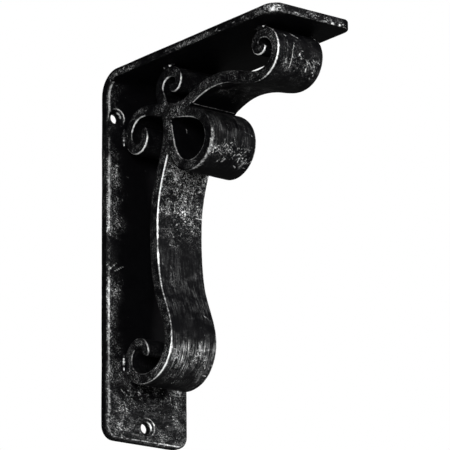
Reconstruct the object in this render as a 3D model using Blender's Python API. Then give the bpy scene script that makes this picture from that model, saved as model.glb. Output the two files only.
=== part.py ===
# Wrought iron shelf bracket: an L of bent flat bar with scrolls of narrower bar welded inside it.
# Metres, +Z up. The wall is the plane Y = 0, the bracket reaches out along -Y and X is its width.
# The origin is in the middle of the wall leg's back face.
# The side view is drawn in millimetres as (depth out from the wall, drop below the top face).
import math

import bmesh
import bpy

MM = 0.001
WELD_GAP = 0.3

# L plate, bent from 2 in x 3/16 in flat bar
LEG_HEIGHT = 190.5
ARM_REACH = 139.7
PLATE_WIDTH = 50.8
PLATE_THICK = 4.76
BEND_RADIUS = 12.7
END_CORNER_RADIUS = 7.0
PLATE_ARRIS = 0.7

# Screw holes, countersunk from the scroll side: (across from the middle, drop)
SCREW_HOLE = 5.5
COUNTERSINK = 9.5
COUNTERSINK_DEPTH = 2.2
SCREW_PLACES = ((0.0, 182.0), (-19.0, 23.5), (19.0, 23.5))

# Scrolls, forged from 1 1/8 in x 1/4 in flat bar, all on the middle of the plate
BAR_WIDTH = 28.6
BAR_ARRIS = 0.7
NOSE_LENGTH = 2.5
NOSE_THIN = 0.45
TURN_PER_FACET = 6.0
LONGEST_FACET = 5.0
WALK_STEP = 0.25

# A bar's bends are (distance along it, degrees of turn per centimetre), read as a straight-line
# graph, so each curl tightens like a spiral. Headings turn from out of the wall towards down.
LONG_SCROLL = {
    "start": (38.0, 26.7), "heading": 70.0, "ends": (-44.0, 194.0), "noses": (True, True),
    "bends": ((-50, -166), (-42, -226), (-34, -128), (-26, -52), (-13, -90), (-6, 2), (0, 15), (14, 22),
              (28, 0), (45, -10), (70, -2), (95, -11), (115, 16), (130, 38), (150, 25), (170, 64), (195, 100)),
    "thick": ((-46, 4.6), (-20, 6.0), (0, 6.5), (110, 6.5), (150, 5.6), (194, 5.2)),
}
TOP_SCROLL = {
    "start": (42.0, 30.4), "heading": -0.2, "ends": (0.0, 126.0), "noses": (False, True),
    "bends": ((0, -14), (10, -15), (22, 7), (34, 15), (46, 9), (58, 7), (70, -22), (82, -47),
              (94, -61), (106, -50), (114, -132), (122, -165), (130, -184)),
    "thick": ((0, 6.6), (60, 6.3), (90, 5.6), (110, 5.3), (130, 5.0)),
}
WALL_CURL = {
    "start": (35.5, 26.6), "heading": 195.0, "ends": (0.0, 60.0), "noses": (False, True),
    "bends": ((0, 8), (10, -12), (20, -46), (30, -58), (40, -68), (50, -100), (62, -140)),
    "thick": ((0, 6.4), (20, 5.6), (60, 5.0)),
}

# The loop hangs in the corner under the crossing; its legs are scarfed to the long and top scrolls
LOOP = {
    "start": (39.3, 28.1), "heading": 76.0, "ends": (12.0, 92.0), "noses": (False, False),
    "bends": ((0, 5), (11, 0), (20, -15), (30, -39), (40, -34), (50, -40), (60, -52), (70, -40),
              (80, -24), (90, -5), (104, 0)),
    "thick": ((0, 5.8), (104, 5.8)),
}
LOOP_INNER_POINT = (44.9, 34.6)
LOOP_ROOT = (40.5, 31.0)

# Weld beads where a curl meets the plate; the rounded face is drawn in shares of the leg
BEAD_LENGTH = 9.0
BEAD_LEG = 1.7
BEAD_END_LEG = 0.6
BEAD_STATIONS = 8
BEAD_FACE = ((1.0, 0.0), (0.72, 0.5), (0.4, 0.86), (0.0, 1.0))

# How finely round shapes are faceted
CORNER_STEP = 15
BEND_STEP = 10
HOLE_FACETS = 32
DRILL_PAST = 1.0
SMOOTH_ANGLE = 25

IRON_COLOUR = (0.055, 0.055, 0.058, 1.0)
WELD_COLOUR = (0.16, 0.16, 0.165, 1.0)


def on_graph(graph, distance):
    """Value at a distance on a straight-line graph, held level past its ends."""
    if distance <= graph[0][0]:
        return graph[0][1]
    for (low, low_value), (high, high_value) in zip(graph, graph[1:]):
        if distance <= high:
            share = (distance - low) / (high - low)
            return low_value + share * (high_value - low_value)
    return graph[-1][1]


def walk(bar, end):
    """Fine points (distance, depth, drop, heading) along a bar's middle from its start to one end."""
    steps = max(1, round(abs(end) / WALK_STEP))
    step = end / steps
    depth, drop = bar["start"]
    heading = math.radians(bar["heading"])
    points = [(0.0, depth, drop, heading)]
    for index in range(steps):
        middle = (index + 0.5) * step
        turn = math.radians(on_graph(bar["bends"], middle) / 10) * step
        depth += math.cos(heading + turn / 2) * step
        drop += math.sin(heading + turn / 2) * step
        heading += turn
        points.append(((index + 1) * step, depth, drop, heading))
    return points


def nose_factor(bar, distance):
    """Share of the full thickness left by the rounded nose at a bar's free end."""
    factor = 1.0
    for end, has_nose in zip(bar["ends"], bar["noses"]):
        past = NOSE_LENGTH - abs(end - distance)
        if has_nose and past > 0:
            factor = math.sqrt(1 - (1 - NOSE_THIN ** 2) * (past / NOSE_LENGTH) ** 2)
    return factor


def bar_stations(bar):
    """Stations along a bar, a facet apart: (depth, drop, heading, thickness, width)."""
    first, last = bar["ends"]
    fine = walk(bar, last)
    if first < 0:
        fine = walk(bar, first)[:0:-1] + fine
    fine = [point for point in fine if first <= point[0] <= last]
    kept = [fine[0]]
    for point in fine[1:-1]:
        turned = math.degrees(abs(point[3] - kept[-1][3]))
        run = point[0] - kept[-1][0]
        in_nose = nose_factor(bar, point[0]) < 1 and run >= NOSE_LENGTH / 3
        if turned >= TURN_PER_FACET or run >= LONGEST_FACET or in_nose:
            kept.append(point)
    if fine[-1][0] - kept[-1][0] < WALK_STEP * 2:
        kept.pop()
    kept.append(fine[-1])
    return [(depth, drop, heading, on_graph(bar["thick"], at) * nose_factor(bar, at), BAR_WIDTH)
            for at, depth, drop, heading in kept]


def plate_stations():
    """Stations of the L plate from the foot, up the wall, round the bend and out to the tip."""
    half = PLATE_THICK / 2
    stations = []
    for degree in range(0, 91, CORNER_STEP):
        lost = END_CORNER_RADIUS * (1 - math.sin(math.radians(degree)))
        along = END_CORNER_RADIUS * (1 - math.cos(math.radians(degree)))
        stations.append((half, LEG_HEIGHT - along, -90.0, PLATE_WIDTH - 2 * lost))
    for degree in range(0, 91, BEND_STEP):
        angle = math.radians(degree)
        swing = BEND_RADIUS - half
        stations.append((BEND_RADIUS - swing * math.cos(angle), BEND_RADIUS - swing * math.sin(angle),
                         degree - 90.0, PLATE_WIDTH))
    for degree in range(90, -1, -CORNER_STEP):
        lost = END_CORNER_RADIUS * (1 - math.sin(math.radians(degree)))
        along = END_CORNER_RADIUS * (1 - math.cos(math.radians(degree)))
        stations.append((ARM_REACH - along, half, 0.0, PLATE_WIDTH - 2 * lost))
    return [(depth, drop, math.radians(heading), PLATE_THICK, width)
            for depth, drop, heading, width in stations]


def to_world(across, depth, drop):
    return (across * MM, -depth * MM, (LEG_HEIGHT / 2 - drop) * MM)


def edge_point(station, side):
    """Point on one face of a bar in the side view; side is 1 or -1."""
    depth, drop, heading, thick, _ = station
    reach = side * thick / 2
    return (depth - math.sin(heading) * reach, drop + math.cos(heading) * reach)


def section_ring(station, arris):
    """Rectangular section with eased arrises, as world points."""
    depth, drop, heading, thick, width = station
    ring = []
    for corner_x, corner_t in ((1, 1), (-1, 1), (-1, -1), (1, -1)):
        full_x, full_t = corner_x * width / 2, corner_t * thick / 2
        eased_x, eased_t = full_x - corner_x * arris, full_t - corner_t * arris
        first, second = (full_x, eased_t), (eased_x, full_t)
        if corner_x * corner_t < 0:
            first, second = second, first
        for across, reach in (first, second):
            ring.append(to_world(across, depth - math.sin(heading) * reach,
                                 drop + math.cos(heading) * reach))
    return ring


def mesh_object(name, shape):
    bmesh.ops.recalc_face_normals(shape, faces=shape.faces)
    mesh = bpy.data.meshes.new(name)
    shape.to_mesh(mesh)
    shape.free()
    piece = bpy.data.objects.new(name, mesh)
    bpy.context.scene.collection.objects.link(piece)
    return piece


def loft(name, rings):
    """Closed solid through rings of the same count of points, with flat caps."""
    shape = bmesh.new()
    loops = [[shape.verts.new(point) for point in ring] for ring in rings]
    count = len(loops[0])
    for lower, upper in zip(loops, loops[1:]):
        for index in range(count):
            after = (index + 1) % count
            shape.faces.new((lower[index], lower[after], upper[after], upper[index]))
    shape.faces.new(loops[0])
    shape.faces.new(loops[-1])
    return mesh_object(name, shape)


def ring_prism(name, outer, inner, half_width):
    """Flat ring between two outlines of the side view, drawn out across the bracket."""
    shape = bmesh.new()
    sides = []
    for across in (-half_width, half_width):
        loops = [[shape.verts.new(to_world(across, *point)) for point in line] for line in (outer, inner)]
        sides.append(loops)
    for near_loop, far_loop in zip(*sides):
        count = len(near_loop)
        for index in range(count):
            after = (index + 1) % count
            shape.faces.new((near_loop[index], near_loop[after], far_loop[after], far_loop[index]))
    for outer_loop, inner_loop in sides:
        count = len(outer_loop)
        for index in range(count):
            after = (index + 1) % count
            shape.faces.new((outer_loop[index], outer_loop[after], inner_loop[after], inner_loop[index]))
    return mesh_object(name, shape)


def finish(piece, colour):
    """Own painted-iron material, smooth shading on the bends and sharp arrises."""
    material = bpy.data.materials.new(piece.name)
    material.use_nodes = True
    shader = material.node_tree.nodes["Principled BSDF"]
    shader.inputs["Base Color"].default_value = colour
    shader.inputs["Roughness"].default_value = 0.45
    shader.inputs["Metallic"].default_value = 0.6
    piece.data.materials.append(material)
    piece.data.shade_smooth()
    piece.data.set_sharp_from_angle(angle=math.radians(SMOOTH_ANGLE))


def cut(piece, cutter):
    """Boolean difference; the cutter stays in the scene as a hidden guide."""
    modifier = piece.modifiers.new("cut by " + cutter.name, "BOOLEAN")
    modifier.operation = "DIFFERENCE"
    modifier.solver = "EXACT"
    modifier.object = cutter
    cutter.hide_render = True
    cutter.display_type = "WIRE"


def make_plate():
    plate = loft("wall_and_top_plate", [section_ring(s, PLATE_ARRIS) for s in plate_stations()])
    for number, place in enumerate(SCREW_PLACES, start=1):
        cut(plate, screw_cutter("screw_cutter_%d" % number, *place))
    return plate


def screw_cutter(name, across, drop):
    """Countersunk drill shape along the depth, running past both faces of the wall leg."""
    sink_slope = (COUNTERSINK - SCREW_HOLE) / 2 / COUNTERSINK_DEPTH
    profile = ((SCREW_HOLE / 2, -DRILL_PAST), (SCREW_HOLE / 2, PLATE_THICK - COUNTERSINK_DEPTH),
               (COUNTERSINK / 2, PLATE_THICK),
               (COUNTERSINK / 2 + sink_slope * DRILL_PAST, PLATE_THICK + DRILL_PAST))
    rings = []
    for radius, depth in profile:
        turns = [2 * math.pi * index / HOLE_FACETS for index in range(HOLE_FACETS)]
        rings.append([to_world(across + radius * math.cos(turn), depth, drop + radius * math.sin(turn))
                      for turn in turns])
    return loft(name, rings)


def make_bar(name, bar, extra_thick=0.0, extra_width=0.0):
    stations = [(depth, drop, heading, thick + extra_thick, width + extra_width)
                for depth, drop, heading, thick, width in bar_stations(bar)]
    return loft(name, [section_ring(station, BAR_ARRIS) for station in stations])


def make_loop():
    """Teardrop ring: both outlines close at the corner under the crossing."""
    stations = bar_stations(LOOP)
    outer = [LOOP_ROOT] + [edge_point(station, 1) for station in stations]
    inner = [LOOP_INNER_POINT] + [edge_point(station, -1) for station in stations]
    return ring_prism("teardrop_loop", outer, inner, BAR_WIDTH / 2)


def ease_arrises(piece, width):
    bevel = piece.modifiers.new("eased arrises", "BEVEL")
    bevel.width = width * MM
    bevel.segments = 1
    bevel.limit_method = "ANGLE"
    bevel.angle_limit = math.radians(60)


def touch_point(bar, against):
    """Fine point of a bar that lies nearest the wall leg or the top leg."""
    fine = [point for end in bar["ends"] if end for point in walk(bar, end)]
    coordinate = 1 if against == "wall" else 2
    return min(fine, key=lambda point: point[coordinate])


def weld_bead(name, bar, against, side):
    """Fillet bead in the corner between a curl's edge and the plate, thinning to both ends."""
    _, depth, drop, _ = touch_point(bar, against)
    along_centre = drop if against == "wall" else depth
    rings = []
    for index in range(BEAD_STATIONS + 1):
        share = index / BEAD_STATIONS
        along = along_centre + (share - 0.5) * BEAD_LENGTH
        leg = BEAD_END_LEG + (BEAD_LEG - BEAD_END_LEG) * math.sin(math.pi * share)
        ring = []
        for across_share, up_share in ((0.0, 0.0),) + BEAD_FACE:
            x = side * (BAR_WIDTH / 2 + WELD_GAP + leg * across_share)
            off_plate = PLATE_THICK + WELD_GAP + leg * up_share
            spot = (off_plate, along) if against == "wall" else (along, off_plate)
            ring.append(to_world(x, *spot))
        rings.append(ring)
    return loft(name, rings)


def make_welds():
    touches = (("bottom_curl", LONG_SCROLL, "wall"), ("upper_curl", LONG_SCROLL, "top"),
               ("wall_curl", WALL_CURL, "wall"), ("tip_curl", TOP_SCROLL, "top"))
    return [weld_bead("weld_%s_%s" % (where, hand), bar, against, side)
            for where, bar, against in touches for hand, side in (("left", -1), ("right", 1))]


def build():
    for item in list(bpy.data.objects):
        bpy.data.objects.remove(item, do_unlink=True)

    plate = make_plate()
    long_scroll = make_bar("long_scroll", LONG_SCROLL)
    top_scroll = make_bar("top_scroll", TOP_SCROLL)
    wall_curl = make_bar("wall_curl", WALL_CURL)
    loop = make_loop()

    clearance = 2 * WELD_GAP
    beside_long = make_bar("long_scroll_cutter", LONG_SCROLL, clearance, BAR_WIDTH)
    beside_top = make_bar("top_scroll_cutter", TOP_SCROLL, clearance, BAR_WIDTH)
    cut(top_scroll, beside_long)
    cut(wall_curl, beside_long)
    cut(loop, beside_long)
    cut(loop, beside_top)
    ease_arrises(loop, BAR_ARRIS)

    for piece in (plate, long_scroll, top_scroll, wall_curl, loop):
        finish(piece, IRON_COLOUR)
    for bead in make_welds():
        finish(bead, WELD_COLOUR)


build()
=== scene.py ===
# Wrought iron shelf bracket: flat bar bent to an L, hand-bent scrolls welded inside it,
# black lacquer with silver rubbed over the raised parts.
# The wall is y = 0, the bracket reaches towards -y, x is its width. Shapes are drawn in mm
# in the side view, as (depth out from the wall, drop below the top face).
import math
from types import SimpleNamespace

import bmesh
import bpy
import numpy as np
from mathutils import Matrix, Vector, noise


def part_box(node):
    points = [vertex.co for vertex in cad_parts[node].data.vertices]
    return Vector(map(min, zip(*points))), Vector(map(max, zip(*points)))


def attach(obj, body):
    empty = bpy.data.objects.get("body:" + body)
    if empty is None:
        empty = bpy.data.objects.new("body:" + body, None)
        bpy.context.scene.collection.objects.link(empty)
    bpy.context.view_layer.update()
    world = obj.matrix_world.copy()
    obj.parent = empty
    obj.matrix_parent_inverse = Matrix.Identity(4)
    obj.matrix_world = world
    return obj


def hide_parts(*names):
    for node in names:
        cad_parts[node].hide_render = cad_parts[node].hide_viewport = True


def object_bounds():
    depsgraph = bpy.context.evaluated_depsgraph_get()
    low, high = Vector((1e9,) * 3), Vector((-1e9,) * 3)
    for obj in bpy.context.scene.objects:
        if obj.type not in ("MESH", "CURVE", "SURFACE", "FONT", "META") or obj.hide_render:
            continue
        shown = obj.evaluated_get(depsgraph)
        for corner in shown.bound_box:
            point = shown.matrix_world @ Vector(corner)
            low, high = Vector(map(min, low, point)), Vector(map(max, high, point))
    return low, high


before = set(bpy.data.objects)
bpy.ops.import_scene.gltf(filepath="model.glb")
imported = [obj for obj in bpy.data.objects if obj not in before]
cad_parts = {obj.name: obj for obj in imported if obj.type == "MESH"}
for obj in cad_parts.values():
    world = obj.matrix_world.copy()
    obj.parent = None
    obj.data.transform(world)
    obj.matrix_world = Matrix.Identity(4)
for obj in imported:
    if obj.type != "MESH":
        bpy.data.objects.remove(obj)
cadLow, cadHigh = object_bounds()
print("frame loaded: %d pieces of iron" % len(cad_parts))

mm = 0.001
plateLow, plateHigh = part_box("wall_and_top_plate")
scrollLow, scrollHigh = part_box("long_scroll")
topFace = plateHigh.z / mm
barWidth = (scrollHigh.x - scrollLow.x) / mm
clearOfBox = 0.02            # what the worn skin stays inside the solid's faces
nearSide, farSide = -1, 1    # the camera stands on the near side, x < 0
crowding = 0.35              # how much a face's points crowd towards its arrises
walkStep = 0.25              # between the places that a bar's line is worked out at


# Shape tools

def toWorld(across, depth, drop):
    return np.stack((across * mm, -depth * mm, (topFace - drop) * mm), axis=-1)


def onGraph(graph, places):
    # straight-line graph of (place, value) pairs, level past its ends
    at, values = zip(*graph)
    return np.interp(places, at, values)


def smoothStep(low, high, values):
    share = np.clip((values - low) / (high - low), 0.0, 1.0)
    return share * share * (3 - 2 * share)


def fadePast(distances, flat, width):
    # one as far as "flat", then fading over "width"
    return np.exp(-(np.clip(distances - flat, 0, None) / width) ** 2)


def walkBar(bar, places):
    # follows a bar's bends from its start both ways, then reads it at the places asked for
    lines = []
    for end in (min(bar["ends"][0], -walkStep), bar["ends"][1]):
        steps = max(1, round(abs(end) / walkStep))
        step = end / steps
        turns = np.radians(onGraph(bar["bends"], (np.arange(steps) + 0.5) * step) / 10) * step
        headings = math.radians(bar["heading"]) + np.concatenate(([0.0], np.cumsum(turns)))
        middles = headings[:-1] + turns / 2
        depths = bar["start"][0] + np.concatenate(([0.0], np.cumsum(np.cos(middles) * step)))
        drops = bar["start"][1] + np.concatenate(([0.0], np.cumsum(np.sin(middles) * step)))
        lines.append(np.column_stack((np.arange(steps + 1) * step, depths, drops, headings)))
    line = np.vstack((lines[0][:0:-1], lines[1]))
    return [np.interp(places, line[:, 0], line[:, k]) for k in (1, 2, 3)]


def clearanceTo(bar, depths, drops):
    # how far points of the side view lie from another bar's faces
    places = np.arange(*bar["ends"], 1.0)
    line = walkBar(bar, places)
    half = onGraph(bar["thick"], places) / 2
    away = np.hypot(depths[:, None] - line[0][None, :], drops[:, None] - line[1][None, :])
    return (away - half[None, :]).min(axis=1)


def sectionSlots(facing, edging, roundSteps):
    # points round a flat bar's section: front face, far edge, back face, near edge, with rounded
    # arrises between; each is (across share, reach share, angle, back share, face number)
    slots = []
    corners = ((1, -1, -90, 0), (1, 1, 0, 1), (-1, 1, 90, 1), (-1, -1, 180, 0))
    for number, (acrossEnd, reachEnd, angle, back) in enumerate(corners):
        steps = facing if number in (0, 2) else edging
        before = corners[number - 1]
        for index in range(1, steps):
            share = index / steps
            share = share - crowding * math.sin(2 * math.pi * share) / (2 * math.pi)
            slots.append((before[0] + (acrossEnd - before[0]) * share,
                          before[1] + (reachEnd - before[1]) * share,
                          math.radians(angle), before[3] + (back - before[3]) * share, number))
        for index in range(roundSteps + 1):
            slots.append((acrossEnd, reachEnd, math.radians(angle + 90 * index / roundSteps), back, number))
    return np.array(slots)


def sweepFlat(name, stations, slots, patina):
    # skin of a flat bar: stations give depth, drop, heading, half width, half thickness and the
    # front and back arris radii; both ends are closed
    depth, drop, heading, halfWidth, halfThick, frontRound, backRound = [
        np.asarray(column, float)[:, None] for column in stations]
    acrossShare, reachShare, angle, backShare, face = [column[None, :] for column in slots.T]
    radius = frontRound + (backRound - frontRound) * backShare
    radius = np.minimum(radius, halfThick * 0.98)      # the rounds don't meet
    across = acrossShare * (halfWidth - radius) + np.cos(angle) * radius
    reach = reachShare * (halfThick - radius) + np.sin(angle) * radius
    flat = np.broadcast_to(depth - np.sin(heading) * reach, across.shape)
    low = np.broadcast_to(drop + np.cos(heading) * reach, across.shape)
    points = toWorld(across, flat, low).reshape(-1, 3)

    # outward direction of each point, for the forged unevenness
    outAcross = np.broadcast_to(np.cos(angle), across.shape)
    outReach = np.broadcast_to(np.sin(angle), across.shape)
    outward = np.stack((outAcross, np.sin(heading) * outReach, -np.cos(heading) * outReach), -1)
    points = uneven(points, outward.reshape(-1, 3), patina["uneven"])

    rows, count = across.shape
    faces = ringFaces(rows, count)
    if "capSteps" not in patina:
        start, end = endFaces(rows, count)
        return meshPiece(name, points, faces + [start[::-1], end]), across, reach
    for first in (0, (rows - 1) * count):
        capPoints, capFaces = gridCap(points, first, count, slots, patina["capSteps"])
        points = np.vstack((points, capPoints))
        faces += capFaces
    return meshPiece(name, points, faces), across, reach


def ringFaces(rings, count):
    # quads between closed rings of points that follow one another
    base = np.arange(rings - 1)[:, None] * count
    slot = np.arange(count)[None, :]
    after = (slot + 1) % count
    quads = np.stack((base + slot, base + after, base + count + after, base + count + slot), -1)
    return quads.reshape(-1, 4).tolist()


def endFaces(rings, count):
    return list(range(count)), list(range((rings - 1) * count, rings * count))


def loftRings(name, rings):
    # closed piece through rings of points
    rows, count = len(rings), len(rings[0])
    return meshPiece(name, np.vstack(rings), ringFaces(rows, count) + list(endFaces(rows, count)))


def gridCap(points, first, count, slots, steps):
    # closes an end with columns from the front face to the back, and one face at each side
    front, back = [[index for index in range(count)
                    if slots[index, 4] == face and slots[index, 2] == math.radians(angle)]
                   for face, angle in ((0, -90), (2, 90))]
    pairs = list(zip(front, back[::-1]))
    share = (np.arange(1, steps) / steps)[:, None]
    free = len(points)
    added = []
    columns = []
    for start, end in pairs:
        added.append(points[first + start] * (1 - share) + points[first + end] * share)
        columns.append([first + start] + list(range(free, free + steps - 1)) + [first + end])
        free += steps - 1
    faces = []
    for one, two in zip(columns, columns[1:]):
        for step in range(steps):
            faces.append((one[step], two[step], two[step + 1], one[step + 1]))
    far = list(range(first + pairs[-1][0] + 1, first + pairs[-1][1]))
    near = list(range(first + pairs[0][1] + 1, first + count)) + list(range(first, first + pairs[0][0]))
    faces += [far + columns[-1][::-1], near + columns[0]]
    return np.vstack(added), faces


def uneven(points, outward, amounts):
    # forging leaves soft hollows; they only go inwards, so the skin stays inside its solid
    contrast = 1.6
    depth = np.full(len(points), clearOfBox)
    for size, amount in amounts:
        scale = 1 / (size * mm)
        bumps = np.array([noise.noise(Vector(point) * scale) for point in points])
        depth = depth + amount * (0.5 - 0.5 * np.clip(bumps * contrast, -1, 1))
    return points - outward * (depth * mm)[:, None]


def meshPiece(name, points, faces):
    mesh = bpy.data.meshes.new(name)
    mesh.from_pydata([tuple(point) for point in points], [], faces)
    mesh.update()
    shape = bmesh.new()
    shape.from_mesh(mesh)
    bmesh.ops.recalc_face_normals(shape, faces=shape.faces)
    shape.to_mesh(mesh)
    shape.free()
    mesh.shade_smooth()
    piece = bpy.data.objects.new(name, mesh)
    bpy.context.scene.collection.objects.link(piece)
    return piece


def writeLayer(piece, name, values, kind="FLOAT"):
    layer = piece.data.attributes.new(name, kind, "POINT")
    key = "value" if kind == "FLOAT" else "vector"
    layer.data.foreach_set(key, np.asarray(values, np.float32).ravel())


def coat(piece, worn, rubbed, streaked, spots):
    # how worn, rubbed and streaked each point is, and its place along, across and through the iron
    writeLayer(piece, "worn", worn)
    writeLayer(piece, "rubbed", rubbed)
    writeLayer(piece, "streaked", streaked)
    writeLayer(piece, "barPlace", spots, "FLOAT_VECTOR")
    piece.data.materials.append(rubbedBlack)


def strokeAt(along, across, line):
    # how far points of a face lie from a stroke drawn on it
    nearest = np.full(along.shape, np.inf)
    for (startAlong, startAcross), (endAlong, endAcross) in zip(line, line[1:]):
        goAlong, goAcross = endAlong - startAlong, endAcross - startAcross
        share = (along - startAlong) * goAlong + (across - startAcross) * goAcross
        share = np.clip(share / (goAlong ** 2 + goAcross ** 2), 0, 1)
        nearest = np.minimum(nearest, np.hypot(along - startAlong - share * goAlong,
                                               across - startAcross - share * goAcross))
    return nearest


# The strokes in a smudge: how they scatter, turn and wander, how long each part is, how many parts,
# how strong; "half" is the half width of every stroke that states none
handStroke = {"scatter": 0.5, "turn": 0.6, "wander": 0.9, "part": (0.5, 1.4), "parts": (1, 4),
              "strength": (0.3, 0.8), "half": 0.21}


def smudgeStrokes(smudges, seed):
    rng = np.random.default_rng(seed)
    strokes = []
    for along, across, long, wide, _, count, lean in smudges:
        for _ in range(count):
            spot = np.array((along, across)) + rng.normal(0, handStroke["scatter"], 2) * (long, wide)
            heading = math.radians(lean) + rng.normal(0, handStroke["turn"])
            line = [tuple(spot)]
            for _ in range(rng.integers(*handStroke["parts"])):
                ahead = np.array((math.cos(heading), math.sin(heading)))
                spot = spot + rng.uniform(*handStroke["part"]) * ahead
                heading += rng.normal(0, handStroke["wander"])
                line.append(tuple(spot))
            strokes.append((rng.uniform(*handStroke["strength"]), line))
    return strokes


def paintMarks(along, across, smudges, strokes, seed):
    # soft patches of wax and the strokes in them; both come back as shares for one face
    soft = np.zeros(along.shape)
    for spotAlong, spotAcross, long, wide, amount, _, _ in smudges:
        away = ((along - spotAlong) / long) ** 2 + ((across - spotAcross) / wide) ** 2
        soft = soft + amount * np.exp(-away)
    sharp = np.zeros(along.shape)
    for strength, line, *stated in list(strokes) + smudgeStrokes(smudges, seed):
        reach = stated[0] if stated else handStroke["half"]
        sharp = np.maximum(sharp, strength * np.exp(-(strokeAt(along, across, line) / reach) ** 2))
    return soft, sharp


# Material tools

def hexColour(text):
    # sRGB hex to linear
    parts = [int(text[index:index + 2], 16) / 255 for index in (0, 2, 4)]
    linear = [part / 12.92 if part <= 0.04045 else ((part + 0.055) / 1.055) ** 2.4 for part in parts]
    return linear + [1.0]


def addNode(tree, kind, settings=None, links=None):
    # settings that name an input set its value, the others belong to the node
    node = tree.nodes.new("ShaderNode" + kind)
    for key, value in (settings or {}).items():
        if isinstance(key, int) or key in node.inputs:
            node.inputs[key].default_value = value
        else:
            setattr(node, key, value)
    for key, source in (links or {}).items():
        tree.links.new(source, node.inputs[key])
    return node


# Rubbed finish. Black satin lacquer over forged steel, then silver wax rubbed on by hand: it
# catches on arrises as bright lines and on the faces as a haze of fine squiggles, and misses the
# recesses, where the bare black lacquer also stands in for painted shade.

finish = {
    "lacquer": "020203", "lacquerLight": "070708", "lacquerRough": 0.5, "lacquerGloss": 0.022,
    "silver": "eceded", "silverRough": 0.42, "silverMetal": 0.4,
    # sizes in mm of what breaks the wax up
    "patch": 6.0, "squiggle": 2.3, "grit": 0.75, "strokeLong": 8.0, "strokeWide": 0.7, "breakUp": 1.3,
    "raggedness": 1.3, "hazeShare": 0.05, "squiggleShare": 1.25, "arrisShine": 0.92,
    "strokeGrit": (0.45, 0.65),      # how much of the grit the strokes show, and how bright they stay
    "grain": 0.8, "bumpDepth": 0.10, "bumpStrength": 0.5, "waxRaised": 0.5,
}


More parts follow.
